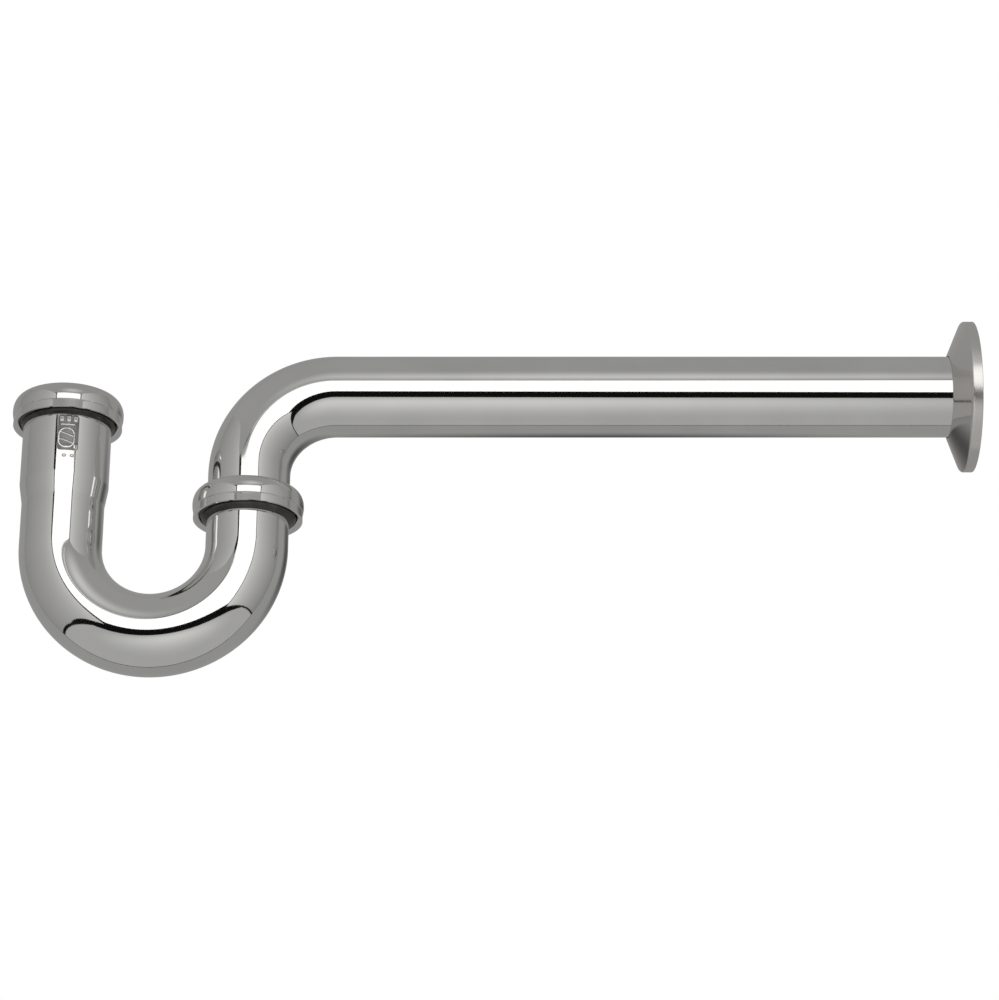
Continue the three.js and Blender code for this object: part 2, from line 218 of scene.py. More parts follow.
def swept(outline, place, sides, relief=None):
    """Vertices, faces and per-face uvs of a closed outline turned round an axis.

    relief(radius, turn, height) gives a new radius, for threads and other shapes cut in the round.
    The uvs are metres round the axis and metres along the outline.
    """
    vertices = []
    along = [0.0]
    for i, (radius, height) in enumerate(outline):
        following = outline[(i + 1) % len(outline)]
        along.append(along[-1] + (following - outline[i]).length)
        for side in range(sides):
            turn = 2 * math.pi * side / sides
            here = relief(radius, turn, height) if relief else radius
            vertices.append(place(here, turn, height))
    faces = []
    uvs = []
    step_lengths = [2 * math.pi * radius / sides for radius, _ in outline]
    for row in range(len(outline)):
        above = (row + 1) % len(outline)
        for side in range(sides):
            beside = (side + 1) % sides
            faces.append((
                row * sides + side,
                row * sides + beside,
                above * sides + beside,
                above * sides + side,
            ))
            low, high = step_lengths[row], step_lengths[above]
            uvs.extend((
                (side * low, along[row]),
                ((side + 1) * low, along[row]),
                ((side + 1) * high, along[row + 1]),
                (side * high, along[row + 1]),
            ))
    return vertices, faces, uvs


def piece(name, shells, body, node, materials, choose=None):
    """Makes an object from shells, rides it on its body and stands it in for its CAD node.

    choose(face centre) gives the index of the face's material.
    """
    vertices, faces, uvs = [], [], []
    for shell_vertices, shell_faces, shell_uvs in shells:
        offset = len(vertices)
        vertices.extend(shell_vertices)
        faces.extend(tuple(index + offset for index in face) for face in shell_faces)
        uvs.extend(shell_uvs)
    mesh = bpy.data.meshes.new(name)
    mesh.from_pydata(vertices, [], faces)
    layer = mesh.uv_layers.new(name="surface")
    layer.data.foreach_set("uv", [value for uv in uvs for value in uv])
    for material in materials:
        mesh.materials.append(material)
    if choose:
        mesh.polygons.foreach_set("material_index", [choose(p.center) for p in mesh.polygons])
    mesh.shade_smooth()
    mesh.set_sharp_from_angle(angle=SHARP_ANGLE)
    mesh.validate()
    thing = bpy.data.objects.new(name, mesh)
    bpy.context.scene.collection.objects.link(thing)
    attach(thing, body)
    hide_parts(node)


# ---- Materials -----------------------------------------------------------------------------------

NOISE_ROUGHNESS = 0.55


class Shader:
    """A Principled material with short calls for the nodes that give it its detail."""

    def __init__(self, name):
        self.material = bpy.data.materials.new(name)
        self.material.use_nodes = True
        self.nodes = self.material.node_tree.nodes
        self.links = self.material.node_tree.links
        self.surface = self.nodes["Principled BSDF"]
        self.position = self.nodes.new("ShaderNodeTexCoord").outputs["Object"]
        self.unrolled = self.nodes.new("ShaderNodeUVMap").outputs["UV"]
        self.nodes["UV Map"].uv_map = "surface"

    def make_metal(self):
        self.surface.inputs["Metallic"].default_value = 1.0

    def feed(self, output, socket):
        self.links.new(output, self.surface.inputs[socket])

    def stretched(self, source, scale):
        node = self.nodes.new("ShaderNodeMapping")
        node.inputs["Scale"].default_value = scale
        self.links.new(source, node.inputs["Vector"])
        return node.outputs["Vector"]

    def noise(self, source, scale, detail=3.0):
        node = self.nodes.new("ShaderNodeTexNoise")
        node.inputs["Scale"].default_value = scale
        node.inputs["Detail"].default_value = detail
        node.inputs["Roughness"].default_value = NOISE_ROUGHNESS
        self.links.new(source, node.inputs["Vector"])
        return node.outputs["Fac"]

    def ranged(self, value, low, high, to_low, to_high):
        node = self.nodes.new("ShaderNodeMapRange")
        for socket, number in zip(("From Min", "From Max", "To Min", "To Max"), (low, high, to_low, to_high)):
            node.inputs[socket].default_value = number
        self.links.new(value, node.inputs["Value"])
        return node.outputs["Result"]

    def tinted(self, factor, first, second):
        node = self.nodes.new("ShaderNodeMix")
        node.data_type = "RGBA"
        node.inputs["A"].default_value = (*first, 1)
        node.inputs["B"].default_value = (*second, 1)
        self.links.new(factor, node.inputs["Factor"])
        return node.outputs["Result"]

    def bumped(self, height, distance, strength=1.0, under=None):
        node = self.nodes.new("ShaderNodeBump")
        node.inputs["Strength"].default_value = strength
        node.inputs["Distance"].default_value = distance
        self.links.new(height, node.inputs["Height"])
        if under:
            self.links.new(under, node.inputs["Normal"])
        return node.outputs["Normal"]


def chrome(name, colour, waviness, haze_roughness=0.025):
    """Polished chrome plate: faint waves from polishing, hairline marks and a breath of haze."""
    shader = Shader(name)
    shader.make_metal()
    haze = shader.noise(shader.position, 34.0)
    darker = tuple(channel * 0.94 for channel in colour)
    shader.feed(shader.tinted(shader.ranged(haze, 0.35, 0.7, 0.0, 1.0), colour, darker), "Base Color")
    hairlines = shader.noise(shader.stretched(shader.unrolled, (60.0, 2600.0, 1.0)), 1.0, 2.0)
    shader.feed(shader.ranged(hairlines, 0.3, 0.8, haze_roughness, haze_roughness + 0.05), "Roughness")
    waves = shader.bumped(shader.noise(shader.position, 85.0, 1.0), waviness)
    shader.feed(shader.bumped(hairlines, 0.0006 * MM, 0.5, waves), "Normal")
    return shader.material


def turned_metal(name, colour, stain, roughness):
    """Metal left as the lathe cut it: fine rings, uneven tone and a dull surface."""
    shader = Shader(name)
    shader.make_metal()
    patches = shader.noise(shader.position, 160.0, 4.0)
    shader.feed(shader.tinted(shader.ranged(patches, 0.35, 0.7, 0.0, 1.0), colour, stain), "Base Color")
    rings = shader.noise(shader.stretched(shader.unrolled, (40.0, 4200.0, 1.0)), 1.0, 2.0)
    shader.feed(shader.ranged(rings, 0.25, 0.75, roughness * 0.75, roughness * 1.3), "Roughness")
    shader.feed(shader.bumped(rings, 0.02 * MM, 0.6), "Normal")
    return shader.material


def rubber(name, colour):
    """Moulded rubber with a fine pebble, a greyish bloom and no shine."""
    shader = Shader(name)
    bloom = shader.noise(shader.position, 140.0, 4.0)
    pale = tuple(channel * 1.9 + 0.01 for channel in colour)
    shader.feed(shader.tinted(shader.ranged(bloom, 0.4, 0.75, 0.0, 1.0), colour, pale), "Base Color")
    pebble = shader.noise(shader.position, 3200.0, 2.0)
    shader.feed(shader.ranged(pebble, 0.3, 0.7, 0.6, 0.85), "Roughness")
    shader.feed(shader.bumped(pebble, 0.03 * MM, 0.7), "Normal")
    return shader.material


TUBE_CHROME = chrome("tube_chrome", (0.82, 0.815, 0.8), 0.004 * MM)
NUT_CHROME = chrome("nut_chrome", (0.8, 0.79, 0.775), 0.018 * MM)
FLANGE_CHROME = chrome("flange_chrome", (0.78, 0.757, 0.735), 0.012 * MM, 0.09)
RIM_CHROME = chrome("rim_chrome", (0.78, 0.757, 0.735), 0.012 * MM, 0.24)
# Dark plate for the mark's low ground and the foot of its slopes: painted shade for the mark's hollows.
MARK_PAINTED_SHADE = turned_metal("mark_painted_shade", (0.3, 0.295, 0.285), (0.16, 0.155, 0.15), 0.3)
# Dull ferrule plate, darkened past its own tone as painted shade for the hollow inside the nuts.
DULL_PLATE_PAINTED_SHADE = turned_metal("dull_plate_painted_shade", (0.12, 0.117, 0.11), (0.06, 0.058, 0.055), 0.28)
BARE_BRASS = turned_metal("bare_brass", (0.62, 0.43, 0.17), (0.42, 0.28, 0.11), 0.32)
BLACK_RUBBER = rubber("black_rubber", (0.022, 0.022, 0.023))

# ---- Tubes ---------------------------------------------------------------------------------------

TUBE_END_FILLET = 0.25 * MM
STEP_FILLET = 5 * MM
MOUTH_FLARE_DEPTH = 1.0 * MM
MOUTH_FLARE_WIDTH = 0.8 * MM


def wall_tube():
    """Quarter bend and straight run, square-cut at the wall, plated outside and bare inside."""
    rise = -WALL_BEND_RADIUS - WALL_TUBE_FOOT_Z
    run = -OUTLET_X - WALL_BEND_RADIUS
    route = TubeRoute(OUTLET_X, WALL_TUBE_FOOT_Z, 90).straight(rise).bend(WALL_BEND_RADIUS, -90).straight(run)
    outline = filleted([
        (TUBE_RADIUS, 0, TUBE_END_FILLET),
        (TUBE_RADIUS, route.length, TUBE_END_FILLET),
        (BORE_RADIUS, route.length, TUBE_END_FILLET),
        (BORE_RADIUS, 0, TUBE_END_FILLET),
    ])
    return swept(divided(outline, TUBE_ROW), route.place, TUBE_SIDES)


def trap_route():
    """Route of the J-bend, from its outlet mouth down, round and up to its inlet mouth."""
    drop = OUTLET_MOUTH_Z - TRAP_CENTRE_Z
    rise = INLET_MOUTH_Z - TRAP_CENTRE_Z
    route = TubeRoute(OUTLET_X, OUTLET_MOUTH_Z, -90)
    return route.straight(drop).bend(TRAP_BEND_RADIUS, -180).straight(rise)


def j_bend():
    """Half-circle between two legs, with the inlet leg swaged out into a socket."""
    route = trap_route()
    step_low = route.length - (INLET_MOUTH_Z - SOCKET_STEP_LOW_Z)
    step_high = route.length - (INLET_MOUTH_Z - SOCKET_STEP_HIGH_Z)
    outline = filleted([
        (TUBE_RADIUS, 0, TUBE_END_FILLET),
        (TUBE_RADIUS, step_low, STEP_FILLET),
        (SOCKET_RADIUS, step_high, STEP_FILLET),
        (SOCKET_RADIUS, route.length, TUBE_END_FILLET),
        (SOCKET_BORE_RADIUS + MOUTH_FLARE_WIDTH, route.length, 0),
        (SOCKET_BORE_RADIUS, route.length - MOUTH_FLARE_DEPTH, MOUTH_FLARE_DEPTH),
        (SOCKET_BORE_RADIUS, step_high, STEP_FILLET),
        (BORE_RADIUS, step_low, STEP_FILLET),
        (BORE_RADIUS, 0, TUBE_END_FILLET),
    ])
    return swept(divided(outline, TUBE_ROW), route.place, TUBE_SIDES)


def wall_tube_offset(point):
    """Distance of a point from the wall tube's centreline."""
    bend_x = OUTLET_X + WALL_BEND_RADIUS
    bend_z = -WALL_BEND_RADIUS
    if point.x >= bend_x:
        return math.hypot(point.y, point.z)
    if point.z <= bend_z:
        return math.hypot(point.x - OUTLET_X, point.y)
    around = math.hypot(point.x - bend_x, point.z - bend_z) - WALL_BEND_RADIUS
    return math.hypot(around, point.y)


def trap_offset(point):
    """Distance of a point from the J-bend's centreline."""
    centre_x = (INLET_X + OUTLET_X) / 2
    if point.z >= TRAP_CENTRE_Z:
        axis_x = INLET_X if point.x < centre_x else OUTLET_X
        return math.hypot(point.x - axis_x, point.y)
    around = math.hypot(point.x - centre_x, point.z - TRAP_CENTRE_Z) - TRAP_BEND_RADIUS
    return math.hypot(around, point.y)


# ---- Nuts, ferrules and packings -----------------------------------------------------------------

PITCH_LINE_RADIUS = (THREAD_MALE_CREST_RADIUS + THREAD_FEMALE_CREST_RADIUS) / 2
THREAD_CLEARANCE = 0.25 * MM
THREAD_ROOT_BAND = 0.02 * MM
RIDGE_WIDTH = THREAD_PITCH / 2 - THREAD_CLEARANCE
FLANK_SLOPE = math.tan(math.radians(30))


def threaded(root, crest, low, high, phase):
    """Relief that raises a right-handed thread from a root radius to a crest between two heights."""
    outwards = math.copysign(1.0, crest - root)
    depth = abs(crest - root)

    def relief(radius, turn, height):
        if abs(radius - root) > THREAD_ROOT_BAND or not low <= height <= high:
            return radius
        offset = (height - phase - THREAD_PITCH * (turn + math.pi / 2) / (2 * math.pi)) % THREAD_PITCH
        distance = min(offset, THREAD_PITCH - offset)
        rise = (RIDGE_WIDTH / 2 - distance) / FLANK_SLOPE + abs(PITCH_LINE_RADIUS - root)
        fade = min(1.0, (height - low) / depth, (high - height) / depth)
        return root + outwards * max(0.0, min(depth * fade, rise))

    return relief


def rows(low, high, spacing):
    """Heights from low to high, both included."""
    count = math.ceil((high - low) / spacing)
    return [low + (high - low) * i / count for i in range(count + 1)]


NUT_WEB = 2.0 * MM
NUT_HOLE_RADIUS = 16.25 * MM
NUT_SKIRT_RADIUS = 21.1 * MM
NUT_SKIRT_TOP = 4.3 * MM
NUT_SKIRT_TOP_RADIUS = 21.03 * MM
NUT_GROOVE_RADIUS = 20.95 * MM
NUT_BEAD_LOW = 4.6 * MM
NUT_BEAD_LOW_RADIUS = 21.25 * MM
NUT_WIDEST = 6.8 * MM
NUT_TOP_RADIUS = 16.9 * MM
NUT_SHOULDER_POWER = 0.9
NUT_COUNTERSINK_RADIUS = 20.1 * MM
NUT_COUNTERSINK_TOP = 2.1 * MM
NUT_THREAD_LOW = 2.2 * MM
NUT_THREAD_HIGH = 7.6 * MM
FERRULE_TAPER = 1.0 * MM
FERRULE_FOOT_LAND = 0.2 * MM
FERRULE_FOOT_EDGE = 0.08 * MM
THREAD_RUN_IN = 0.1 * MM
THREAD_RUN_OUT = 0.2 * MM
BRAZE_SIZE = 0.24 * MM
BRAZE_HOLLOW = 0.32
WASHER_LIFT = 0.1 * MM
WASHER_TOE = 0.1 * MM
WASHER_BEVEL = 0.9 * MM


def nut_bead():
    """The nut's bead, from its groove out to its widest point, then over the shoulder to the top."""
    points = []
    for i in range(NUT_BEAD_STEPS):
        t = i / NUT_BEAD_STEPS
        radius = NUT_RADIUS - (NUT_RADIUS - NUT_BEAD_LOW_RADIUS) * (1 - t) ** 2
        points.append((radius, NUT_BEAD_LOW + (NUT_WIDEST - NUT_BEAD_LOW) * t, 0))
    for i in range(NUT_SHOULDER_STEPS + 1):
        angle = math.pi / 2 * i / NUT_SHOULDER_STEPS
        out = max(0.0, math.cos(angle)) ** NUT_SHOULDER_POWER
        up = math.sin(angle) ** NUT_SHOULDER_POWER
        radius = NUT_TOP_RADIUS + (NUT_RADIUS - NUT_TOP_RADIUS) * out
        points.append((radius, NUT_WIDEST + (NUT_TOP - NUT_WIDEST) * up, 0))
    return points


def slip_nut(x, z):
    """Skirt, groove, bead and shoulder outside; web, female thread and countersink inside."""
    thread_rows = reversed(rows(NUT_THREAD_LOW, NUT_THREAD_HIGH, THREAD_ROW))
    outline = filleted([
        (NUT_COUNTERSINK_RADIUS, NUT_RIM, 0),
        (NUT_SKIRT_RADIUS, NUT_RIM, 0),
        (NUT_SKIRT_TOP_RADIUS, NUT_SKIRT_TOP, CRISP_EDGE),
        (NUT_GROOVE_RADIUS, (NUT_SKIRT_TOP + NUT_BEAD_LOW) / 2, HAIR_EDGE),
        *nut_bead(),
        (NUT_HOLE_RADIUS, NUT_TOP, SOFT_EDGE),
        (NUT_HOLE_RADIUS, NUT_TOP - NUT_WEB, CRISP_EDGE),
        (THREAD_BORE_RADIUS, NUT_TOP - NUT_WEB, SOFT_EDGE),
        *((THREAD_BORE_RADIUS, height, 0) for height in thread_rows),
        (THREAD_BORE_RADIUS, NUT_COUNTERSINK_TOP, FINE_EDGE),
    ])
    relief = threaded(THREAD_BORE_RADIUS, THREAD_FEMALE_CREST_RADIUS, NUT_THREAD_LOW, NUT_THREAD_HIGH, 0)
    return swept(divided(outline, NUT_ROW), upright(x, z), NUT_SIDES, relief)


def ferrule(x, z, tube_radius, mouth_z):
    """Brazed ferrule with a tapered foot and one male thread."""
    inner = tube_radius + CLOSE_GAP
    mouth = mouth_z - z
    low = FERRULE_TAPER + THREAD_RUN_IN
    high = mouth - THREAD_RUN_OUT
    outline = filleted([
        (inner, 0, 0),
        (inner + FERRULE_FOOT_LAND, 0, FERRULE_FOOT_EDGE),
        (THREAD_CORE_RADIUS, FERRULE_TAPER, FINE_EDGE),
        *((THREAD_CORE_RADIUS, height, 0) for height in rows(low, high, THREAD_ROW)),
        (THREAD_CORE_RADIUS, mouth, FINE_EDGE),
        (inner, mouth, 0),
    ])
    relief = threaded(THREAD_CORE_RADIUS, THREAD_MALE_CREST_RADIUS, low, high, THREAD_PITCH / 2)
    return swept(divided(outline, NUT_ROW * 2), upright(x, z), NUT_SIDES, relief)


def flat_ring(node, fillet, bore):
    """Ring with rounded edges and the given bore radius that fills its CAD node's box."""
    low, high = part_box(node)
    outer = (high.y - low.y) / 2
    thickness = high.z - low.z
    outline = filleted([
        (bore, 0, fillet),
        (outer, 0, fillet),
        (outer, thickness, fillet),
        (bore, thickness, fillet),
    ])
    return swept(divided(outline, NUT_ROW * 2), upright(middle(node).x, low.z), NUT_SIDES)


def braze_bead(x, z, radius):
    """Small hollow bead of brazing metal under a ferrule's foot, in the corner with its tube."""
    hollow = BRAZE_SIZE * BRAZE_HOLLOW
    outline = filleted([
        (radius, -BRAZE_SIZE, 0),
        (radius + hollow, -hollow, 0),
        (radius + BRAZE_SIZE, 0, 0),
        (radius, 0, 0),
    ])
    return swept(divided(outline, NUT_ROW), upright(x, z), NUT_SIDES)


def slip_washer():
    """Slip-joint washer: a lip over the ferrule and a bevel that wedges into the socket's mouth."""
    low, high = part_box("inlet_washer")
    bore = TUBE_RADIUS + CLOSE_GAP
    lip = INLET_MOUTH_Z + WASHER_LIFT - low.z
    top = high.z - low.z
    outline = filleted([
        (bore, 0, HAIR_EDGE),
        (bore + WASHER_TOE, 0, 0),
        (bore + WASHER_BEVEL, lip, FINE_EDGE),
        (PACKING_RADIUS, lip, PLAIN_EDGE),
        (PACKING_RADIUS, top, SOFT_EDGE),
        (bore, top, PLAIN_EDGE),
    ])
    return swept(divided(outline, NUT_ROW), upright(INLET_X, low.z), NUT_SIDES)


# ---- Wall flange ---------------------------------------------------------------------------------

FLANGE_SHEET = 0.8 * MM
FLANGE_NECK_RADIUS = 16.1 * MM
FLANGE_RIM_DEPTH = 4.0 * MM
FLANGE_CORNER_FILLET = 1.1 * MM
FLANGE_INNER_FILLET = 0.7 * MM
FLANGE_RIM_BAND = 0.3 * MM


def wall_flange():
    """Spun dish: a crisp neck edge, a straight cone, a rolled corner and a flat rim."""
    slope = Vector((FLANGE_RADIUS - FLANGE_NECK_RADIUS, FLANGE_DEPTH - FLANGE_RIM_DEPTH)).normalized()
    back = FLANGE_SHEET / slope.x
    inner_rim = FLANGE_RADIUS - FLANGE_SHEET
    inner_corner = -FLANGE_RIM_DEPTH + back - FLANGE_SHEET * slope.y / slope.x
    outline = filleted([
        (FLANGE_NECK_RADIUS, -FLANGE_DEPTH, PLAIN_EDGE),
        (FLANGE_RADIUS, -FLANGE_RIM_DEPTH, FLANGE_CORNER_FILLET),
        (FLANGE_RADIUS, 0, LIGHT_EDGE),
        (inner_rim, 0, LIGHT_EDGE),
        (inner_rim, inner_corner, FLANGE_INNER_FILLET),
        (FLANGE_NECK_RADIUS, -FLANGE_DEPTH + back, LIGHT_EDGE),
    ])
    return swept(divided(outline, FLANGE_ROW), into_wall, FLANGE_SIDES)


def grip_ring():
    """Round-section rubber ring behind the flange's neck."""
    low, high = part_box("flange_grip_ring")
    section = (high.x - low.x) / 2
    ring_radius = (high.z - low.z) / 2 - section
    depth = (low.x + high.x) / 2
    outline = []
    for i in range(GRIP_RING_STEPS):
        angle = 2 * math.pi * i / GRIP_RING_STEPS
        outline.append(Vector((ring_radius + section * math.cos(angle), depth + section * math.sin(angle))))
    return swept(outline, into_wall, FLANGE_SIDES)


# ---- Raised mark on the socket -------------------------------------------------------------------

MARK_HEIGHT = 0.45 * MM
MARK_HALF_WIDTH = 4.4 * MM
MARK_HALF_HEIGHT = 9.1 * MM
MARK_GRID = 0.1 * MM
MARK_CENTRE_Z = INLET_Z - 9.6 * MM
MARK_TURN = 3.0 * MM / SOCKET_RADIUS
MARK_BURIED = 0.05 * MM
MARK_BACK_DEPTH = 0.4 * MM

# The mark's own drawing, in plain millimetres. Places are across and up from the middle of the mark,
# or of the badge for its crossbars. Pads are half width, half height, corner radius and bevel.
TOP_STUD = (1.1, 1.5, 0.7, 0.7)
TOP_STUDS_UP = 7.4
TOP_STUDS_ACROSS = (-2.7, 0, 2.7)
BAR = (3.1, 0.55, 0.5, 0.5)
BAR_PLACE = (-0.3, 4.9)
BADGE_OUTSIDE = (3.5, 4.5, 3.2, 0.45)
BADGE_INSIDE = (2.7, 3.7, 2.5, 0.45)
BADGE_PLACE = (-0.6, -0.6)
CROSSBAR = (2.9, 0.5, 0.4, 0.45)
CROSSBAR_LEAN = 0.35
CROSSBARS_UP = (1.51, -1.39)
CROSSBAR_HEIGHT = 0.9
SIDE_STUD = (1.1, 1.3, 0.9, 0.7)
SIDE_STUD_PLACE = (3.0, -4.2)
LOW_STUD = (0.8, 0.7, 0.6, 0.5)
LOW_STUDS_UP = -8.0
LOW_STUDS_ACROSS = (-1.2, 1.8)
GROUND = (4.2, 7.5, 1.5, 0.3)
GROUND_PLACE = (0, 1.5)
GROUND_HEIGHT = 0.16


def pad(u, v, half_u, half_v, corner, bevel):
    """Height from 0 to 1 of a rounded rectangle, domed over its bevel, at (u, v) from its middle."""
    over_u = abs(u) - half_u + corner
    over_v = abs(v) - half_v + corner
    outside = math.hypot(max(over_u, 0), max(over_v, 0)) - corner
    inside = min(max(over_u, over_v), 0)
    t = min(max(-(outside + inside) / bevel, 0), 1)
    return math.sin(t * math.pi / 2)


def pad_at(place, u, v, shape):
    """Height of a pad whose middle stands at a place of the drawing."""
    return pad(u - place[0], v - place[1], *shape)


def badge(u, v):
    """Round rim crossed by two plain leaning bars."""
    u, v = u - BADGE_PLACE[0], v - BADGE_PLACE[1]
    rim = pad(u, v, *BADGE_OUTSIDE) - pad(u, v, *BADGE_INSIDE)
    leaning = v + CROSSBAR_LEAN * u
    bars = max(pad_at((0, up), u, leaning, CROSSBAR) for up in CROSSBARS_UP)
    return max(rim, CROSSBAR_HEIGHT * bars)


def mark_relief(u, v):
    """Three studs, a bar, a round badge and smaller studs on a low ground. It says nothing."""
    return max(
        GROUND_HEIGHT * pad_at(GROUND_PLACE, u, v, GROUND),
        *(pad_at((across, TOP_STUDS_UP), u, v, TOP_STUD) for across in TOP_STUDS_ACROSS),
        pad_at(BAR_PLACE, u, v, BAR),
        badge(u, v),
        pad_at(SIDE_STUD_PLACE, u, v, SIDE_STUD),
        *(pad_at((across, LOW_STUDS_UP), u, v, LOW_STUD) for across in LOW_STUDS_ACROSS),
    )


def socket_mark():
    """Thin closed patch that stands on the front of the socket and dips just under its surface."""
    columns = round(2 * MARK_HALF_WIDTH / MARK_GRID)
    levels = round(2 * MARK_HALF_HEIGHT / MARK_GRID)
    front = -math.pi / 2 + MARK_TURN
    place = upright(INLET_X, MARK_CENTRE_Z)
    vertices, faces = [], []
    for raised in (False, True):
        for level in range(levels + 1):
            v = -MARK_HALF_HEIGHT + level * MARK_GRID
            for column in range(columns + 1):
                u = -MARK_HALF_WIDTH + column * MARK_GRID
                lift = mark_relief(u / MM, v / MM) * MARK_HEIGHT if raised else -MARK_BACK_DEPTH
                vertices.append(place(SOCKET_RADIUS - MARK_BURIED + lift, front + u / SOCKET_RADIUS, v))
    stride = columns + 1
    sheet = stride * (levels + 1)
    for level in range(levels):
        for column in range(columns):
            corner = level * stride + column
            under = (corner, corner + stride, corner + stride + 1, corner + 1)
            faces.append(under)
            faces.append(tuple(index + sheet for index in reversed(under)))
    edge = list(range(columns))
    edge += [columns + level * stride for level in range(levels)]
    edge += [levels * stride + columns - column for column in range(columns)]
    edge += [(levels - level) * stride for level in range(levels)]
    for i, first in enumerate(edge):
        second = edge[(i + 1) % len(edge)]
        faces.append((first, second, second + sheet, first + sheet))
    uvs = [(vertices[index][0], vertices[index][2]) for face in faces for index in face]
    return vertices, faces, uvs


# ---- Pieces on their bodies ----------------------------------------------------------------------

BORE_BAND = 0.4 * MM
# Heights above the socket between which the mark's faces take the painted shade.
MARK_SHADE_LOW = 0.012 * MM
MARK_SHADE_HIGH = 0.3 * MARK_HEIGHT


def wall_tube_material(centre):
    """Bare brass in the bore, chrome outside."""
    return int(wall_tube_offset(centre) < (TUBE_RADIUS + BORE_RADIUS) / 2)


def trap_material(centre):
    """Bare brass in the bore, painted shade on the mark's low ground and the foot of its slopes, and chrome
    everywhere else.
    """
    offset = trap_offset(centre)
    in_socket = centre.x < OUTLET_X - TRAP_BEND_RADIUS and centre.z > SOCKET_STEP_HIGH_Z
    if offset < (SOCKET_BORE_RADIUS if in_socket else BORE_RADIUS) + BORE_BAND:
        return 1
    lift = offset - SOCKET_RADIUS
    return 2 if in_socket and MARK_SHADE_LOW < lift < MARK_SHADE_HIGH else 0


def flange_material(centre):
    """Duller chrome on the rim's outer face, chrome elsewhere."""
    return int(math.hypot(centre.y, centre.z) > FLANGE_RADIUS - FLANGE_RIM_BAND)


piece(
    "wall_tube_skin", [wall_tube()], "wall_tube", "wall_tube",
    [TUBE_CHROME, BARE_BRASS], wall_tube_material,
)
piece(
    "j_bend_skin", [j_bend(), socket_mark()], "trap_bend", "j_bend",
    [TUBE_CHROME, BARE_BRASS, MARK_PAINTED_SHADE], trap_material,
)
for side, x, z in (("inlet", INLET_X, INLET_Z), ("outlet", OUTLET_X, OUTLET_Z)):
    piece(f"{side}_nut_skin", [slip_nut(x, z)], f"{side}_nut", f"{side}_nut", [NUT_CHROME])
    slip_ring = flat_ring(f"{side}_slip_ring", CRISP_EDGE, TUBE_RADIUS + SLIDING_GAP)
    piece(f"{side}_slip_ring_skin", [slip_ring], f"{side}_ring", f"{side}_slip_ring", [BARE_BRASS])
for side, x, z, tube_radius, mouth_z in (
    ("inlet", INLET_X, INLET_Z, SOCKET_RADIUS, INLET_MOUTH_Z),
    ("outlet", OUTLET_X, OUTLET_Z, TUBE_RADIUS, OUTLET_MOUTH_Z),
):
    shells = [ferrule(x, z, tube_radius, mouth_z), braze_bead(x, z, tube_radius)]
    piece(f"{side}_ferrule_skin", shells, "trap_bend", f"{side}_ferrule", [DULL_PLATE_PAINTED_SHADE])
collar = flat_ring("wall_tube_collar", CRISP_EDGE, TUBE_RADIUS + CLOSE_GAP)
piece("wall_tube_collar_skin", [collar], "wall_tube", "wall_tube_collar", [BARE_BRASS])
gasket = flat_ring("outlet_gasket", LIGHT_EDGE, BORE_RADIUS + CLOSE_GAP)
piece("outlet_gasket_skin", [gasket], "trap_bend", "outlet_gasket", [BLACK_RUBBER])
piece("inlet_washer_skin", [slip_washer()], "trap_bend", "inlet_washer", [BLACK_RUBBER])
piece(
    "wall_flange_skin", [wall_flange()], "flange", "wall_flange",
    [FLANGE_CHROME, RIM_CHROME], flange_material,
)
piece("grip_ring_skin", [grip_ring()], "flange_grip", "flange_grip_ring", [BLACK_RUBBER])

# ---- Camera --------------------------------------------------------------------------------------

CAMERA_LOOKS_UP = 22.745
camera = bpy.data.objects.new("camera", bpy.data.cameras.new("camera"))
bpy.context.scene.collection.objects.link(camera)
camera.data.sensor_width = 36
camera.data.lens = 109.05
camera.location = (-0.18529, -1.08060, -0.49678)
camera.rotation_euler = (math.radians(90 + CAMERA_LOOKS_UP), 0, 0)
bpy.context.scene.camera = camera

# ---- Studio: a light tent that the chrome reflects and the camera can't see -----------------------

# Size and middle of the tent in metres. Every other place in it counts in tent sizes from its middle.
TENT = 0.4
TENT_MIDDLE = Vector((-0.31, 0, -0.08))
FRONT, BACK, LEFT, RIGHT, UP, DOWN = -4.6, 0.466, -1.73, 2.14, 2.0, -1.0

# Height angles in degrees of the bands over the front window, and steps along each band.
WINDOW_TOP, LINTEL_TOP, FRAME_TOP = 24.9, 26.3, 29.0
FRONT_STEPS = 8

# Open seam round the back wall, which reflects as a fine dark line.
SEAM = 0.03


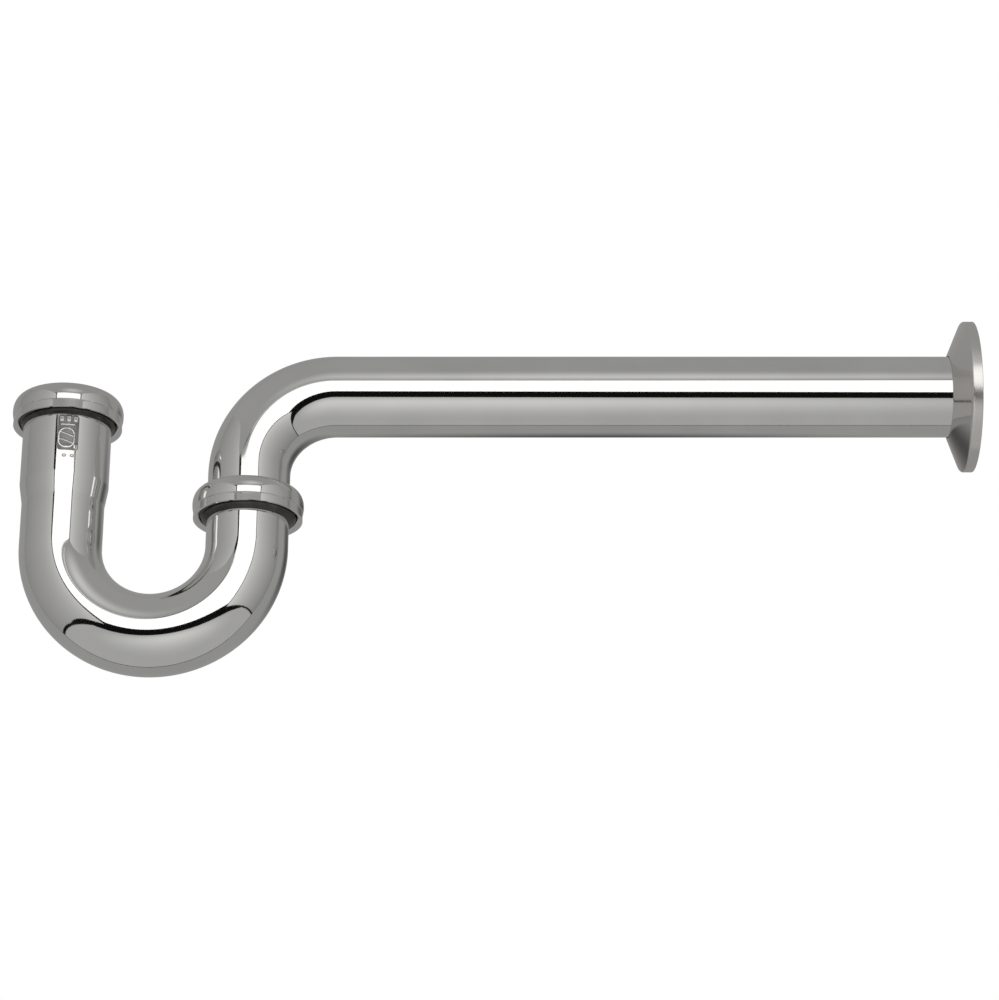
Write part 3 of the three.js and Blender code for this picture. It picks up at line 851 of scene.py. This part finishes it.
def glow(name, level, slope=(0, 0, 0), spot=None, spot_radius=1.0, spot_level=0.0):
    """Glowing cloth. Its light changes steadily along a slope, and by spot_level towards a spot."""
    material = bpy.data.materials.new(name)
    material.use_nodes = True
    nodes, links = material.node_tree.nodes, material.node_tree.links
    nodes.clear()
    output = nodes.new("ShaderNodeOutputMaterial")
    emission = nodes.new("ShaderNodeEmission")
    emission.inputs["Color"].default_value = (1, 0.997, 0.985, 1)
    links.new(emission.outputs["Emission"], output.inputs["Surface"])
    place = nodes.new("ShaderNodeNewGeometry").outputs["Position"]
    along = nodes.new("ShaderNodeVectorMath")
    along.operation = "DOT_PRODUCT"
    along.inputs[1].default_value = [component / TENT for component in slope]
    links.new(place, along.inputs[0])
    total = nodes.new("ShaderNodeMath")
    total.operation = "ADD"
    total.inputs[1].default_value = level
    links.new(along.outputs["Value"], total.inputs[0])
    if spot:
        away = nodes.new("ShaderNodeVectorMath")
        away.operation = "DISTANCE"
        away.inputs[1].default_value = TENT_MIDDLE + Vector(spot) * TENT
        links.new(place, away.inputs[0])
        near = nodes.new("ShaderNodeMapRange")
        near.interpolation_type = "SMOOTHSTEP"
        near.inputs["From Max"].default_value = spot_radius * TENT
        near.inputs["To Min"].default_value = spot_level
        near.inputs["To Max"].default_value = 0.0
        links.new(away.outputs["Value"], near.inputs["Value"])
        both = nodes.new("ShaderNodeMath")
        both.operation = "ADD"
        links.new(total.outputs["Value"], both.inputs[0])
        links.new(near.outputs["Result"], both.inputs[1])
        total = both
    links.new(total.outputs["Value"], emission.inputs["Strength"])
    return material


def panel(name, corners, material):
    """Flat panel of the light tent, its corners in tent sizes from the middle of the tent."""
    mesh = bpy.data.meshes.new(name)
    mesh.from_pydata([TENT_MIDDLE + Vector(corner) * TENT for corner in corners], [], [range(len(corners))])
    mesh.materials.append(material)
    cloth = bpy.data.objects.new(name, mesh)
    bpy.context.scene.collection.objects.link(cloth)
    cloth.visible_camera = False


def across_front(first, last, elevation):
    """Points on the front plane at one height angle, from one bearing to another."""
    points = []
    for i in range(FRONT_STEPS + 1):
        bearing = math.radians(first + (last - first) * i / FRONT_STEPS)
        height = math.tan(math.radians(elevation)) / math.cos(bearing)
        points.append((-FRONT * math.tan(bearing), FRONT, -FRONT * height))
    return points


def front_strip(name, first, last, low, high, level):
    """Strip across the tent's front between two bearings and two height angles."""
    corners = across_front(first, last, low) + across_front(last, first, high)
    panel(name, corners, glow(name, level))


panel(
    "front_window",
    [(2.5, FRONT, -0.83), (-1.45, FRONT, -0.21), *across_front(-17.5, 30, WINDOW_TOP)],
    glow("window_light", level=1.35),
)
front_strip("lintel", -20, 32, WINDOW_TOP, LINTEL_TOP, level=0.36)
front_strip("left_frame_bar", -20, -8, LINTEL_TOP, FRAME_TOP, level=0.02)
front_strip("window_top_glow", -8, 18, LINTEL_TOP, FRAME_TOP, level=0.72)
front_strip("right_frame_bar", 18, 32, LINTEL_TOP, FRAME_TOP, level=0.02)
panel(
    "left_wall",
    [(LEFT, BACK, DOWN), (LEFT, -1.0, DOWN), (LEFT, -1.45, -0.91), (LEFT, -2.06, -0.82),
     (LEFT, -3.0, -0.7), (LEFT, -4.95, -0.61), (LEFT, -4.95, UP), (LEFT, BACK, UP)],
    glow("left_light", level=0.32, slope=(0, -0.0625, 0)),
)
panel(
    "right_wall",
    [(RIGHT, BACK, -0.92), (RIGHT, BACK, UP), (RIGHT, -3.45, UP), (RIGHT, -3.75, -0.92)],
    glow("right_light", level=0.31, slope=(0, -0.11, 0)),
)
panel(
    "back_wall",
    [(LEFT + SEAM, BACK, DOWN + SEAM), (RIGHT - SEAM, BACK, DOWN + SEAM), (RIGHT - SEAM, BACK, UP),
     (LEFT + SEAM, BACK, UP)],
    glow("back_light", level=0.33, spot=(0.42, BACK, 0.2), spot_radius=0.42, spot_level=-0.25),
)
panel(
    "roof",
    [(LEFT, BACK, UP), (RIGHT, BACK, UP), (RIGHT, -3.85, UP), (LEFT, -3.85, UP)],
    glow("roof_light", level=0.345, spot=(0.55, -2.6, UP), spot_radius=1.5, spot_level=0.3),
)
panel(
    "ground_cloth",
    [(-1.6, 0.45, DOWN), (-1.56, -2.67, DOWN), (0, -2.67, DOWN), (1.3, -2.26, DOWN), (1.75, -2.0, DOWN),
     (2.19, -1.2, DOWN), (2.19, 0.45, DOWN)],
    glow("ground_light", level=0.43, spot=(0.2, -1.5, DOWN), spot_radius=1.5, spot_level=0.27),
)

# Plain pale floor, in metres, far under the tent. No reflection shows it.
FLOOR_REACH = 60.0
FLOOR_Z = -2.5
floor_mesh = bpy.data.meshes.new("floor")
floor_corners = [(x * FLOOR_REACH, y * FLOOR_REACH, FLOOR_Z) for x, y in ((-1, -1), (1, -1), (1, 1), (-1, 1))]
floor_mesh.from_pydata(floor_corners, [], [(0, 1, 2, 3)])
floor_mesh.materials.append(glow("floor_paper", level=0.86))
floor = bpy.data.objects.new("floor", floor_mesh)
bpy.context.scene.collection.objects.link(floor)
floor.visible_glossy = False
floor.visible_diffuse = False

# Reflections see a dark room through the tent's gaps, and the camera sees white paper behind.
world = bpy.data.worlds.new("studio")
bpy.context.scene.world = world
world.use_nodes = True
world_nodes = world.node_tree.nodes
world_links = world.node_tree.links
room = world_nodes["Background"]
room.inputs["Color"].default_value = (0.005, 0.005, 0.005, 1)
backdrop = world_nodes.new("ShaderNodeBackground")
backdrop.inputs["Color"].default_value = (1, 1, 1, 1)
seen = world_nodes.new("ShaderNodeLightPath")
mixed = world_nodes.new("ShaderNodeMixShader")
world_links.new(seen.outputs["Is Camera Ray"], mixed.inputs["Fac"])
world_links.new(room.outputs["Background"], mixed.inputs[1])
world_links.new(backdrop.outputs["Background"], mixed.inputs[2])
world_links.new(mixed.outputs["Shader"], world_nodes["World Output"].inputs["Surface"])
bpy.context.scene.view_settings.view_transform = "Standard"
